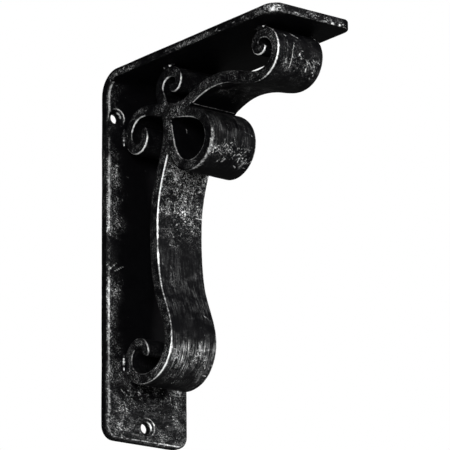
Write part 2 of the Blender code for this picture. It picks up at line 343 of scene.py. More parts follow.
def rubbedIron(name, look):
    material = bpy.data.materials.new(name)
    material.use_nodes = True
    tree = material.node_tree
    shader = tree.nodes["Principled BSDF"]
    place = addNode(tree, "TexCoord").outputs["Object"]
    alongBar = addNode(tree, "Attribute", {"attribute_name": "barPlace"}).outputs["Vector"]
    worn, rubbed, streaked = [addNode(tree, "Attribute", {"attribute_name": layer}).outputs["Fac"]
                              for layer in ("worn", "rubbed", "streaked")]

    # patches decide where the wax took
    patch = addNode(tree, "TexNoise", {"Scale": 1 / (look["patch"] * mm), "Detail": 3.0,
                    "Roughness": 0.6, "Distortion": 0.6}, {"Vector": place}).outputs["Fac"]
    took = addNode(tree, "MapRange", {"From Min": 0.4, "From Max": 0.64, "To Min": 0.3, "To Max": 1.35},
                   {"Value": patch}).outputs["Result"]
    took = addNode(tree, "Math", {"operation": "MULTIPLY"}, {0: took, 1: rubbed}).outputs[0]

    # squiggles: the mid-level of a bent noise gives thin wandering lines, grit breaks them up
    bent = addNode(tree, "TexNoise", {"Scale": 1 / (look["squiggle"] * mm), "Detail": 2.0,
                   "Roughness": 0.6, "Distortion": 1.8}, {"Vector": place}).outputs["Fac"]
    offLevel = addNode(tree, "Math", {"operation": "SUBTRACT", 1: 0.5}, {0: bent}).outputs[0]
    offLevel = addNode(tree, "Math", {"operation": "ABSOLUTE"}, {0: offLevel}).outputs[0]
    line = addNode(tree, "MapRange", {"From Min": 0.012, "From Max": 0.065, "To Min": 1.0,
                   "To Max": 0.12}, {"Value": offLevel}).outputs["Result"]
    grit = addNode(tree, "TexNoise", {"Scale": 1 / (look["grit"] * mm), "Detail": 3.0,
                   "Roughness": 0.75}, {"Vector": place}).outputs["Fac"]
    grit = addNode(tree, "MapRange", {"From Min": 0.42, "From Max": 0.68},
                   {"Value": grit}).outputs["Result"]
    scribble = addNode(tree, "Math", {"operation": "MULTIPLY"}, {0: line, 1: grit}).outputs[0]
    scribble = addNode(tree, "Math", {"operation": "MULTIPLY_ADD", 1: look["squiggleShare"],
                       2: look["hazeShare"]}, {0: scribble}).outputs[0]
    scribble = addNode(tree, "Math", {"operation": "MULTIPLY"}, {0: scribble, 1: took}).outputs[0]

    # brush strokes along the bar, in clumps
    stretch = [1 / (look[key] * mm) for key in ("strokeLong", "strokeWide", "strokeWide")]
    stretched = addNode(tree, "Mapping", {"Scale": stretch}, {"Vector": alongBar}).outputs["Vector"]
    strokes = addNode(tree, "TexNoise", {"Scale": 1.0, "Detail": 4.0, "Roughness": 0.65,
                      "Distortion": 0.5}, {"Vector": stretched}).outputs["Fac"]
    strokes = addNode(tree, "MapRange", {"From Min": 0.42, "From Max": 0.72, "To Min": 0.04},
                      {"Value": strokes}).outputs["Result"]
    gritty = addNode(tree, "Math", {"operation": "MULTIPLY_ADD", 1: look["strokeGrit"][0],
                     2: look["strokeGrit"][1]}, {0: grit}).outputs[0]
    clumps = addNode(tree, "MapRange", {"From Min": 0.42, "From Max": 0.6, "To Min": 0.5,
                     "To Max": 1.35}, {"Value": patch}).outputs["Result"]
    for share in (gritty, clumps, streaked):
        strokes = addNode(tree, "Math", {"operation": "MULTIPLY"}, {0: strokes, 1: share}).outputs[0]

    # worn arrises: solid where heavy, broken up where light
    breakUp = addNode(tree, "TexNoise", {"Scale": 1 / (look["breakUp"] * mm), "Detail": 3.0,
                      "Roughness": 0.7}, {"Vector": place}).outputs["Fac"]
    breakUp = addNode(tree, "Math", {"operation": "MULTIPLY_ADD", 1: look["raggedness"],
                      2: 0.5 - 0.5 * look["raggedness"]}, {0: breakUp}).outputs[0]
    ragged = addNode(tree, "Math", {"operation": "ADD"}, {0: breakUp, 1: worn}).outputs[0]
    arris = addNode(tree, "MapRange", {"From Min": 0.72, "From Max": 1.4, "To Max": look["arrisShine"]},
                    {"Value": ragged}).outputs["Result"]

    # the eye reads the wax in even steps, light does not: squared at the end
    silver = scribble
    for mark in (strokes, arris):
        silver = addNode(tree, "Math", {"operation": "MAXIMUM"}, {0: silver, 1: mark}).outputs[0]
    silver = addNode(tree, "Math", {"operation": "POWER", 1: 2.0, "use_clamp": True},
                     {0: silver}).outputs[0]

    ground = addNode(tree, "Mix", {"data_type": "RGBA", 6: hexColour(look["lacquer"]),
                     7: hexColour(look["lacquerLight"])}, {0: patch}).outputs[2]
    colour = addNode(tree, "Mix", {"data_type": "RGBA", 7: hexColour(look["silver"])},
                     {0: silver, 6: ground}).outputs[2]
    metal = addNode(tree, "MapRange", {"To Max": look["silverMetal"]}, {"Value": silver}).outputs["Result"]
    rough = addNode(tree, "MapRange", {"To Min": look["lacquerRough"], "To Max": look["silverRough"]},
                    {"Value": silver}).outputs["Result"]
    grain = addNode(tree, "TexNoise", {"Scale": 1 / (look["grain"] * mm), "Detail": 4.0,
                    "Roughness": 0.6}, {"Vector": place}).outputs["Fac"]
    height = addNode(tree, "Math", {"operation": "MULTIPLY_ADD", 1: look["waxRaised"]},
                     {0: silver, 2: grain}).outputs[0]
    bump = addNode(tree, "Bump", {"Strength": look["bumpStrength"], "Distance": look["bumpDepth"] * mm},
                   {"Height": height}).outputs["Normal"]
    for key, source in (("Base Color", colour), ("Metallic", metal), ("Roughness", rough), ("Normal", bump)):
        tree.links.new(source, shader.inputs[key])
    shader.inputs["Specular IOR Level"].default_value = look["lacquerGloss"]
    return material


rubbedBlack = rubbedIron("hand_rubbed_black_lacquered_iron", finish)


# Bars. Bends are (place along the bar, degrees of turn per centimetre); wear is how heavily each
# arris was rubbed along the bar, rub how heavily each face was, streak how much of the brush strokes
# shows. Spacing is the step between stations, facing how many points cross a broad face. A bar is
# set back from its full width where it runs beside another.

barSkin = {"edging": 10, "roundSteps": 3, "arris": 0.75,
           # the arris where a bar was welded against another, how near that is, and what wax it keeps
           "pressed": 0.15, "pressedReach": (0.1, 1.6), "pressedKeeps": 0.25,
           # rounded free ends: how long, how thin, how much narrower, and their extra stations
           "noseLong": 2.6, "noseThin": 0.16, "noseNarrow": 0.7,
           "noseStations": (0.02, 0.06, 0.12, 0.2, 0.32),
           # the line of wax on an arris: how it narrows over the broad face and over the side, how far
           # it stays full, how wide it fades where light, and how much wider where heavy
           "wearIn": 0.6, "wearOver": 1.2, "lineFlat": 0.25, "lineFade": 0.12, "lineWider": 0.36,
           "uneven": ((14.0, 0.16), (4.0, 0.06), (1.6, 0.03))}

longScroll = {
    "spacing": 0.5, "facing": 78,
    "start": (38.0, 26.7), "heading": 70.0, "ends": (-44.0, 194.0), "noses": (True, True),
    "bends": ((-50, -166), (-42, -226), (-34, -128), (-26, -52), (-13, -90), (-6, 2), (0, 15), (14, 22),
              (28, 0), (45, -10), (70, -2), (95, -11), (115, 16), (130, 38), (150, 25), (170, 64),
              (195, 100)),
    "thick": ((-46, 4.6), (-20, 6.0), (0, 6.5), (110, 6.5), (150, 5.6), (194, 5.2)),
    "setBack": ((0, 0.0), (1, 0.0)),
    "wear": {
        # the brightest stretches of this line are wax and a painted highlight of the rounded arris both
        "nearFront": ((-44, 0.3), (-27, 0.4), (-23, 0.9), (-15, 0.9), (-11, 0.55), (-6, 0.45), (-2, 0.15),
                      (22, 0.12), (25, 0.95), (50, 0.9), (66, 0.88), (70, 0.6), (74, 0.6), (75.5, 1.0),
                      (79, 0.95), (84, 0.66), (102, 0.58), (120, 0.5), (123, 0.6), (127, 1.0), (138, 1.0),
                      (143, 0.7), (160, 0.5), (166, 0.2), (180, 0.2), (186, 0.3), (188.5, 0.6), (192, 0.75),
                      (194, 0.5)),
        "nearBack": ((-44, 0.3), (-42, 0.35), (-41, 0.75), (-35, 0.9), (-33, 0.5), (-29, 0.35), (-24, 0.1),
                     (4, 0.1), (8, 0.4), (24, 0.35), (30, 0.1), (40, 0.1), (60, 0.35), (80, 0.35),
                     (95, 0.15), (128, 0.3), (133, 0.6), (144, 0.55), (150, 0.7), (158, 0.45), (166, 0.45),
                     (172, 0.6), (180, 0.4), (194, 0.25)),
        "farFront": ((-44, 0.3), (0, 0.2), (30, 0.5), (100, 0.4), (120, 0.6), (150, 0.6), (165, 0.3),
                     (194, 0.4)),
        "farBack": ((-44, 0.4), (0, 0.2), (60, 0.3), (194, 0.4)),
    },
    "rub": {
        "front": ((-44, 0.1), (0, 0.2), (24, 0.4), (29, 1.05), (44, 1.0), (54, 0.8), (60, 0.45), (68, 0.25),
                  (76, 0.1), (90, 0.15), (106, 0.1), (114, 0.08), (122, 0.15), (127, 0.4), (136, 0.35),
                  (142, 0.3), (160, 0.15), (194, 0.1)),
        "back": ((-44, 0.2), (0, 0.1), (194, 0.1)),
        "near": ((-44, 0.4), (-30, 0.55), (-22, 0.4), (-18, 0.15), (-6, 0.15), (-3, 0.8), (6, 0.95),
                 (10, 0.7), (20, 0.7), (30, 0.5), (60, 0.4), (110, 0.5), (140, 0.7), (178, 0.5), (186, 0.6),
                 (189, 0.4), (194, 0.35)),
        "far": ((-44, 0.35), (194, 0.35)),
    },
    "streak": ((-44, 0.0), (62, 0.05), (72, 0.2), (84, 0.28), (104, 0.26), (113, 0.15), (117, 0.1),
               (121, 0.3), (125, 1.0), (132, 0.85), (137, 0.4), (146, 0.3), (160, 0.15)),
    "marks": {"front": (
        # smudges: along, across, long, wide, amount, strokes, lean of the strokes
        ((35, -5, 6, 4, 0.4, 22, 60), (37, 3, 6, 5, 0.35, 16, 20), (47, 3, 6, 4, 0.6, 30, 50),
         (53, 3, 5, 6, 0.35, 16, 120), (67, -3, 7, 5, 0.3, 10, 120), (88, -7, 9, 3, 0.2, 3, 30),
         (112, 6, 6, 4, 0.08, 0, 35), (129, 3, 3, 5, 0.5, 9, 0), (128, -8, 3, 3, 0.3, 5, 0),
         (132, 9, 3, 4, 0.1, 3, 20), (141, -6, 4, 7, 0.1, 9, 20)),
        # strokes: strength, where they run as (along, across), and some half widths; last, the seed
        ((0.75, ((31, 7.5), (38, 6.8), (46, 5.8))), (0.6, ((39, -4.4), (46, -3.8), (53, -3.6))),
         (0.7, ((31, -7), (32.5, -5), (34, -5.5), (37, -7))),
         (0.7, ((44, -2.5), (45, -0.5), (46, 1), (47, 1.5), (48, 3.5))),
         (0.65, ((49, 5.5), (51, 6), (51.5, 10))),
         (0.85, ((53, 10), (53, 14))), (0.7, ((48, -4), (50, -4), (52, -3))),
         (0.6, ((107.8, 7.8), (110.6, 11.9))),
         (0.3, ((111, 1), (115, 5), (119, 7))), (0.8, ((122, 4.5), (125.5, 4), (129, 2.5), (132, 0.5))),
         (0.6, ((126, 2), (125, 8.5))), (0.7, ((125, -9), (128, -7.5), (130.5, -8.5))),
         (0.85, ((126.5, -13.5), (127, -11))), (0.45, ((144, -8), (138.5, -7), (135, -5)))), 3)},
}

topScroll = {
    "spacing": 0.35, "facing": 86,
    "start": (42.0, 30.4), "heading": -0.2, "ends": (0.0, 126.0), "noses": (False, True),
    "bends": ((0, -14), (10, -15), (22, 7), (34, 15), (46, 9), (58, 7), (70, -22), (82, -47),
              (94, -61), (106, -50), (114, -132), (122, -165), (130, -184)),
    "thick": ((0, 6.6), (60, 6.3), (90, 5.6), (110, 5.3), (130, 5.0)),
    "setBack": ((0, 0.08), (6, 0.08), (10, 0.0)),
    "wear": {
        "nearBack": ((0, 0.1), (8, 0.5), (26, 0.7), (40, 0.6), (56, 0.35), (68, 0.35), (75, 0.5),
                     (80, 0.85), (92, 0.95), (98, 0.7), (104, 0.4), (108, 0.3), (113, 0.4), (116, 0.9),
                     (123, 0.95)),
        "nearFront": ((0, 0.2), (40, 0.3), (80, 0.25), (94, 0.75), (104, 0.75), (112, 0.3), (125, 0.3)),
        "farFront": ((0, 0.3), (125, 0.4)),
        "farBack": ((0, 0.3), (60, 0.4), (90, 0.5), (125, 0.5)),
    },
    "rub": {
        "back": ((0, 0.1), (24, 0.1), (30, 0.3), (60, 0.3), (66, 0.15), (76, 0.15), (82, 0.22), (92, 0.22),
                 (100, 0.15), (125, 0.1)),
        "front": ((0, 0.2), (125, 0.15)),
        "near": ((0, 1.1), (8, 0.9), (12, 0.6), (20, 0.45), (40, 0.45), (60, 0.5), (90, 0.5), (125, 0.5)),
        "far": ((0, 0.35), (125, 0.35)),
    },
    "streak": ((0, 0.0), (70, 0.1), (90, 0.15), (100, 0.1), (125, 0.0)),
    "marks": {"back": (
        ((88, -1, 4, 4, 0.18, 18, 70), (86, 5, 4, 4, 0.14, 14, 40), (87, 10, 4, 3, 0.14, 12, 10),
         (85, -8, 4, 4, 0.2, 12, 60), (94, -9, 4, 3, 0.1, 4, 0), (40, -4, 9, 7, 0.1, 6, 20)),
        ((0.75, ((96, -3.5), (92, -5), (89, -5), (85, -5))), (0.5, ((97, -8), (93, -8), (89.5, -8.5))),
         (0.55, ((89, -4), (90.5, -1), (91, 2))), (0.65, ((90, 3.5), (87.5, 5.5), (85, 5))),
         (0.5, ((85, -9.5), (86, -7.5))), (0.65, ((89.5, 7.5), (87.5, 10), (85, 10))),
         (0.6, ((18.2, -13), (18.0, 13)), 0.34),
         (0.75, ((101, -3.3), (99.6, -1.2), (98.6, 0.4)), 0.3), (0.35, ((98.6, 0.4), (97.4, 1.6)), 0.3),
         (1.1, ((101.6, 12.6), (101.8, 13.6)), 0.4)), 5),
        # on the near side the second number is the place across the bar's thickness
        "near": ((), (
            (0.9, ((16.8, 2.4), (17.6, 1.9))), (0.6, ((17.6, 1.9), (20, 2.0), (21.8, 1.6), (25.2, 2.6))),
            (0.5, ((17.8, 0.5), (16.8, -1), (15.5, -2.5))), (0.45, ((21.8, 1.6), (22.5, 0)))), 6)},
}

wallCurl = {
    "spacing": 0.5, "facing": 58,
    "start": (35.5, 26.6), "heading": 195.0, "ends": (0.0, 60.0), "noses": (False, True),
    "bends": ((0, 8), (10, -12), (20, -46), (30, -58), (40, -68), (50, -100), (62, -140)),
    "thick": ((0, 6.4), (20, 5.6), (60, 5.0)),
    "setBack": ((0, 0.08), (6, 0.08), (9, 0.0)),
    "wear": {
        "nearFront": ((0, 0.1), (11, 0.2), (15, 0.8), (24, 0.9), (30, 0.85), (34, 0.4), (60, 0.25)),
        "nearBack": ((0, 0.1), (10, 0.2), (34, 0.3), (38, 0.6), (44, 0.75), (49, 0.95), (54, 0.9), (57, 0.4),
                     (60, 0.2)),
        "farFront": ((0, 0.2), (60, 0.4)),
        "farBack": ((0, 0.2), (60, 0.4)),
    },
    "rub": {
        "front": ((0, 0.1), (60, 0.1)),
        "back": ((0, 0.2), (60, 0.1)),
        "near": ((0, 0.5), (6, 0.35), (10, 0.3), (18, 0.7), (30, 0.65), (38, 0.5), (60, 0.5)),
        "far": ((0, 0.35), (60, 0.35)),
    },
    "streak": ((0, 0.0), (60, 0.0)),
    "marks": {"near": ((), ((0.6, ((12.5, 2.2), (12.8, 1.2))), (0.7, ((13, 0.2), (13, -0.6))),
                            (0.5, ((13.2, -1.4), (13.6, -2.4)))), 8)},
}

teardropLoop = {
    "spacing": 0.33, "facing": 90,
    "start": (39.3, 28.1), "heading": 76.0, "ends": (3.0, 100.0), "noses": (False, False),
    "bends": ((0, 5), (11, 0), (20, -15), (30, -39), (40, -34), (50, -40), (60, -52), (70, -40),
              (80, -24), (90, -5), (104, 0)),
    "thick": ((0, 5.8), (104, 5.8)),
    "setBack": ((3, 0.12), (34, 0.12), (42, 0.0), (74, 0.0), (82, 0.12), (100, 0.12)),
    "wear": {
        "nearBack": ((3, 0.1), (36, 0.15), (40, 0.4), (46, 0.65), (50, 0.55), (56, 0.6), (63, 0.6),
                     (66, 0.45), (68, 0.3), (74, 0.3), (78, 0.1), (100, 0.1)),
        "nearFront": ((3, 1.5), (6.5, 1.5), (7.5, 0.45), (8.5, 0.9), (12, 0.6), (28, 0.65), (34, 0.4),
                      (44, 0.5), (66, 0.5), (74, 0.45), (82, 0.75), (94, 0.8), (96, 1.5), (100, 1.5)),
        "farFront": ((3, 0.3), (100, 0.3)),
        "farBack": ((3, 0.2), (50, 0.5), (75, 0.5), (100, 0.2)),
    },
    "rub": {
        "back": ((3, 0.1), (44, 0.06), (50, 0.1), (56, 0.18), (62, 0.16), (66, 0.12), (78, 0.12), (84, 0.1),
                 (100, 0.1)),
        "front": ((3, 0.05), (100, 0.05)),
        "near": ((3, 0.8), (10, 0.6), (24, 0.7), (34, 0.4), (50, 0.3), (70, 0.3), (84, 0.45), (96, 1.0),
                 (100, 1.2)),
        "far": ((3, 0.35), (100, 0.35)),
    },
    "streak": ((3, 0.0), (44, 0.04), (56, 0.15), (64, 0.32), (76, 0.32), (84, 0.0)),
    "marks": {"back": (
        ((58, -13, 7, 1.2, 0.9, 16, 10), (57, -9, 2, 4, 0.2, 14, 60), (57, -2, 3, 4, 0.2, 22, 80),
         (57, 5, 3, 4, 0.15, 18, 60), (52, 9, 4, 3, 0.2, 12, 10), (60, 9, 3, 3, 0.15, 7, 60),
         (52, -3, 3, 4, 0.1, 7, 40), (67, -9, 4, 4, 0.05, 0, 0)),
        ((0.5, ((57, -13), (58, -10.5), (57, -7.5), (56, -5))), (0.55, ((58, -13), (57, -9.5), (55, -5))),
         (0.65, ((61.5, -5.5), (60, -5.5), (58.5, -6.5))), (0.55, ((63, 0), (60, 1.5), (59, 3))),
         (0.75, ((58, -2), (57.5, 0), (57, 1))), (0.5, ((56.5, 8.5), (54.5, 7.5), (53, 8.5), (51, 8.5))),
         (0.45, ((66.5, 7.5), (66, 11), (65, 12))), (0.45, ((71, -12), (66.5, -11.5))),
         (0.45, ((70, -7.5), (66.5, -7))), (0.4, ((69.5, -3.5), (66, -2.5))), (0.4, ((64, 6.5), (60, 5))),
         (0.5, ((81.8, -13.5), (83.4, 12))),
         (0.5, ((44, -13.4), (56, -13.2), (65, -13.3)), 1.3)), 7),
        "front": ((), ((0.75, ((9.6, -4.9), (10.4, -4.6), (11.8, -4.8)), 0.3),), 10),
        "near": ((), ((0.5, ((43, -2.3), (50, -2.3), (58, -2.4), (67, -2.4)), 0.5),
                      (0.3, ((67, -2.4), (72, -2.3)), 0.4)), 9)},
}


def noseShare(bar, places):
    # share of the full thickness left near a rounded free end
    share = np.ones(len(places))
    for end, hasNose in zip(bar["ends"], bar["noses"]):
        past = np.clip(barSkin["noseLong"] - np.abs(end - places), 0, None) / barSkin["noseLong"]
        if hasNose:
            share = np.minimum(share, np.sqrt(1 - (1 - barSkin["noseThin"] ** 2) * past ** 2))
    return share


def forgeBar(name, bar, neighbours):
    first, last = bar["ends"]
    places = np.linspace(first, last, round((last - first) / bar["spacing"]) + 1)
    for end, hasNose in zip(bar["ends"], bar["noses"]):
        if hasNose:
            inward = -math.copysign(1.0, end - (first + last) / 2)
            places = np.union1d(places, end + inward * np.array(barSkin["noseStations"]))
    depth, drop, heading = walkBar(bar, places)
    nose = noseShare(bar, places)
    halfThick = onGraph(bar["thick"], places) * nose / 2
    halfWidth = barWidth / 2 - onGraph(bar["setBack"], places) - barSkin["noseNarrow"] * (1 - nose)

    # an arris is pressed flat where it was welded against a neighbour
    bared = []
    for side in (-1, 1):
        edgeDepth = depth - np.sin(heading) * halfThick * side
        edgeDrop = drop + np.cos(heading) * halfThick * side
        free = np.min([clearanceTo(other, edgeDepth, edgeDrop) for other in neighbours], axis=0)
        bared.append(smoothStep(*barSkin["pressedReach"], free))
    rounds = [barSkin["pressed"] + (barSkin["arris"] - barSkin["pressed"]) * share for share in bared]
    slots = sectionSlots(bar["facing"], barSkin["edging"], barSkin["roundSteps"])
    stations = (depth, drop, heading, halfWidth, halfThick, *rounds)
    piece, across, reach = sweepFlat(name, stations, slots, barSkin)
    dress(piece, bar, places, across, reach, halfWidth, halfThick, bared, slots)
    return piece


def dress(piece, bar, places, across, reach, halfWidth, halfThick, bared, slots):
    # writes how worn and rubbed each point of a bar is
    worn = np.zeros(across.shape)
    for key, side, back in (("nearFront", nearSide, -1), ("farFront", farSide, -1),
                            ("nearBack", nearSide, 1), ("farBack", farSide, 1)):
        keeps = barSkin["pressedKeeps"] + (1 - barSkin["pressedKeeps"]) * bared[0 if back < 0 else 1]
        heavy = onGraph(bar["wear"][key], places) * keeps
        # the wax lies further in over the broad face than over the side
        away = np.hypot((across - side * halfWidth[:, None]) * barSkin["wearIn"],
                        (reach - back * halfThick[:, None]) * barSkin["wearOver"])
        fade = (barSkin["lineFade"] + barSkin["lineWider"] * heavy)[:, None]
        worn = np.maximum(worn, heavy[:, None] * fadePast(away, barSkin["lineFlat"], fade))
    rubbed = np.zeros(across.shape)
    for number, key in ((0, "front"), (1, "far"), (2, "back"), (3, "near")):
        onFace = slots[None, :, 4] == number
        rubbed = np.where(onFace, onGraph(bar["rub"][key], places)[:, None], rubbed)
    alongFace = np.broadcast_to(places[:, None], across.shape)
    for number, key, over in ((0, "front", across), (2, "back", across), (3, "near", reach)):
        if key in bar["marks"]:
            onFace = np.broadcast_to((slots[:, 4] == number)[None, :], across.shape)
            soft, sharp = paintMarks(alongFace[onFace], over[onFace], *bar["marks"][key])
            rubbed[onFace] += soft
            worn[onFace] = np.maximum(worn[onFace], sharp)
    onBroad = np.isin(slots[:, 4], (0, 2))[None, :]
    streaked = np.where(onBroad, onGraph(bar["streak"], places)[:, None], 0.0)
    coat(piece, worn, rubbed, streaked, np.stack((alongFace, across, reach), -1) * mm)


bars = (("rubbed_long_scroll", "long_scroll", longScroll, (topScroll, wallCurl, teardropLoop)),
        ("rubbed_top_scroll", "top_scroll", topScroll, (longScroll, teardropLoop)),
        ("rubbed_wall_curl", "wall_curl", wallCurl, (longScroll,)),
        ("rubbed_teardrop_loop", "teardrop_loop", teardropLoop, (longScroll, topScroll)))
for pieceName, nodeName, shape, others in bars:
    bar = forgeBar(pieceName, shape, others)
    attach(bar, "root")
    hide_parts(nodeName)
    print("forged", pieceName)


# The L plate

plate = {
    "thick": 4.76, "bendRadius": 12.7, "cornerRadius": 7.0, "arris": 0.8, "sideEase": 0.6,
    "spacing": 0.68, "facing": 74, "edging": 7, "roundSteps": 3, "capSteps": 8,
    "uneven": ((22.0, 0.14), (5.0, 0.05), (1.8, 0.03)),
    "screwHole": 5.4, "sink": 9.3, "sinkDepth": 1.7, "sinkArris": 0.2, "drillTurns": 72, "drillPast": 1.0,
    # steps up the cone, and over its rim as shares of the rim's arris (out, up)
    "coneSteps": (0.0, 0.5, 0.9), "rimSteps": ((0.4, -0.3), (1.6, 0.4)),
    # across, drop; painted highlight on the cone's lit side and how tightly it sits; wax all round the
    # rim, and painted highlight on the rim's lit side; where that lit side is (degrees above level)
    "screws": ((0.0, 182.0, 1.1, 1.2, 0.36, 0.5, 25), (-19.0, 23.5, 0.85, 3.0, 0.2, 0.75, 48),
               (19.0, 23.5, 0.7, 2.0, 0.2, 0.5, 30)),
    # The wax. Graphs for the wall leg run by drop, for the arm by depth, for the foot and the tip by
    # place across.
    # the line along each side arris: how far in it runs on the wall, how it narrows, how it fades
    "lineIn": 1.7, "lineInFlat": 0.05, "wearIn": 0.5, "wearOver": 1.3,
    "lineFlat": 0.3, "lineFade": 0.15, "nearWider": 0.55, "farWider": 0.3,
    "wallLine": ((4, 0.3), (5.5, 0.6), (12, 0.65), (20, 0.65), (24, 0.8), (26, 0.1), (33, 0.12), (36, 0.4),
                 (43, 0.45), (46, 0.7), (83, 0.65), (86, 0.25), (92, 0.35), (102, 0.3), (102.5, 0.6),
                 (104, 0.6), (105, 0.3), (110, 0.7), (140, 0.6), (150, 0.5), (176, 0.5), (180, 0.4),
                 (190, 0.4)),
    "armLine": ((6, 0.25), (12, 0.2), (100, 0.15), (139, 0.4)),
    "farLine": (0.45, 0.4),      # on the wall, on the arm
    # a thin broken line round the foot, how far in it runs and how wide it is
    "footLine": ((-25, 0.5), (-16, 0.42), (-12, 0.5), (-4, 0.75), (4, 0.6), (8, 0.8), (19, 0.85), (22, 0.5)),
    "footLineIn": 1.2, "footLineWide": 0.45,
    # lines with how far they stay full, then how wide they fade: across the tip, round the back
    "tipLine": ((-25, 0.5), (-14, 0.3), (-10, 0.25), (-8, 0.35), (-5, 0.35), (-4, 0.2), (5, 0.25), (6, 0.55),
                (8, 0.5), (9, 0.15), (10.7, 0.15), (11.4, 0.8), (12.6, 0.8), (13.3, 0.1), (15.2, 0.1),
                (15.9, 0.85), (16.8, 0.85), (17.5, 0.1)),
    "tipLineFade": (0.35, 0.4), "tipOver": 0.6,
    "backLine": 0.3, "backLineFade": (0.3, 0.5),
    # the cloth reached the foot, a band beside the side arrises and the outer skin; the wall face
    # between foot and arm and the arm's underside stay nearly bare, less wax there and painted shade as well
    "footRub": 0.36, "footFrom": (146, 158), "footStreak": 0.9, "outside": 0.3, "underArm": 0.06,
    "band": ((8, 0.4), (24, 0.25), (38, 0.1), (44, 0.6), (84, 0.7), (90, 0.2), (106, 0.25), (110, 0.6),
             (140, 0.5), (190, 0.6)),
    "bandFade": (3.5, 5.0), "farBand": 0.6,
    "besideLine": ((138, 1.3), (150, 0.3)), "besideWide": 2.4,
    "endRub": (0.1, 0.18),       # on the foot's end face, on the tip's
    # the side faces; the arm's was rubbed along its lower half, and all over by the tip
    "wallSide": ((0, 0.12), (40, 0.15), (46, 0.4), (66, 0.4), (80, 0.15), (190, 0.12)),
    "armSide": ((0, 0.9), (24, 0.9), (32, 0.3), (50, 0.2), (60, 1.0), (88, 0.95), (95, 0.2), (108, 0.25),
                (118, 0.55), (130, 0.7), (135, 0.8)),
    "armSideTop": 0.12, "armSideLow": (0.9, 2.2), "armSideTip": (112, 126), "endDeep": 0.25,
    # the tip's near corner, rubbed almost bare: where it is from the side, the end and the top, how
    # it is stretched, then strength and size of the wax on the arris and round it
    "cornerAt": (1.0, 2.0, 3.4), "cornerStretch": (1.2, 1.0, 0.8),
    "cornerWorn": (0.75, 2.8), "cornerRubbed": (1.5, 4.2),
    # the line round a countersink: how far out from the edge, how it fades, from where it leaves other
    # lines be, where it stops; then the line in the cone
    "rimOut": 0.1, "rimFade": (0.1, 0.25), "rimKeeps": 0.3, "rimReach": 0.9,
    "coneAt": 3.2, "coneWide": 0.45, "holeRub": 0.12, "backDeep": 0.4,
    # the foot was wiped round a point this far down, and a turn counts as this many mm
    "wipedRound": 138.0, "turnLong": 35.0,
    # smudges and strokes as on the bars: on the wall leg (drop, across), on the arm's side (depth,
    # below the top), on the tip's end face (across, below the top)
    "footMarks": (
        ((185, -17, 4, 5, 0.45, 18, 40), (164, -6, 6, 8, 0.3, 26, 60), (172, -16, 6, 7, 0.25, 26, 45),
         (172, 19, 10, 5, 0.2, 20, -10), (187, 12, 3, 9, 0.25, 14, 60), (161, 15, 6, 7, 0.5, 14, 0),
         (161, 5, 4, 7, 0.45, 10, 10), (52, -20, 7, 3, 0.3, 9, 60), (70, -19, 8, 3, 0.4, 10, 20),
         (80, -17, 4, 4, 0.3, 7, 45), (113, -20, 6, 4, 0.3, 8, 70), (155, -19, 8, 4, 0.3, 10, 10),
         (12, -20, 5, 4, 0.1, 0, 60)),
        ((0.45, ((45, -22.7), (55, -22.3), (66, -22.8), (76, -22.2), (84, -22.0)), 0.7),
         (0.4, ((8, -23.6), (24, -23.6)), 0.5),
         (0.45, ((152, -23.4), (160, -22.9), (168, -23.3), (177, -22.9)), 0.8),
         (0.35, ((112, -23.5), (140, -23.4)), 0.5),
         (0.85, ((176.5, -20), (174, -12))), (0.8, ((104.5, -20.5), (101, -14.5)), 0.3),
         (0.65, ((103, -22.5), (100, -19)), 0.3), (0.9, ((103, -23.2), (103.4, -22.6)), 0.5),
         (0.7, ((53.5, -12.3), (54, -11.8)), 0.35), (0.5, ((188.5, -14), (186.5, -19), (183, -21.5))),
         (0.6, ((188, 3), (184.5, 0.5))), (0.45, ((184.6, 4.8), (188.3, 6.8)))), 11),
    "sideMarks": (
        ((14, 2.6, 8, 1.4, 0.6, 16, 30), (76, 3.0, 14, 1.2, 0.6, 28, 20), (114, 2.8, 8, 1.4, 0.4, 7, 20),
         (128, 2.4, 6, 1.8, 0.6, 10, 20)), (), 13),
    "endMarks": (
        ((9, 2.6, 4, 1.3, 0.5, 16, 70), (-2, 2.2, 4, 1.3, 0.3, 10, 60), (-12, 3.6, 6, 0.8, 0.3, 8, 10),
         (19, 3.2, 3, 1.2, 0.3, 5, 20)), (), 14),
}


def plateStations():
    # from the foot up the wall, round the bend and out to the tip
    height = (plateHigh.z - plateLow.z) / mm
    reach = (plateHigh.y - plateLow.y) / mm
    half = plate["thick"] / 2
    swing = plate["bendRadius"] - half
    legLength = height - plate["bendRadius"]
    armLength = reach - plate["bendRadius"]
    bendLength = swing * math.pi / 2
    total = legLength + bendLength + armLength
    places = np.linspace(0, total, round(total / plate["spacing"]) + 1)
    easeTurns = np.radians(np.arange(0, 90, 15))
    ease = plate["arris"] * (1 - np.cos(easeTurns))
    places = np.union1d(places[2:-2], np.concatenate((ease, total - ease)))
    turned = np.clip((places - legLength) / bendLength, 0, 1) * math.pi / 2
    past = np.clip(places - legLength - bendLength, 0, None)
    depth = plate["bendRadius"] - swing * np.cos(turned) + past
    drop = np.where(places < legLength, height - places, plate["bendRadius"] - swing * np.sin(turned))
    heading = turned - math.pi / 2
    fromEnd = np.minimum(places, total - places)
    corner = plate["cornerRadius"]
    toCorner = np.clip(corner - fromEnd, 0, corner)
    lost = corner - np.sqrt(corner ** 2 - toCorner ** 2)
    toEnd = np.clip(plate["arris"] - fromEnd, 0, plate["arris"])
    eased = plate["arris"] - np.sqrt(plate["arris"] ** 2 - toEnd ** 2)
    halfWidth = (plateHigh.x - plateLow.x) / mm / 2 - lost - eased * plate["sideEase"]
    return depth, drop, heading, halfWidth, half - eased


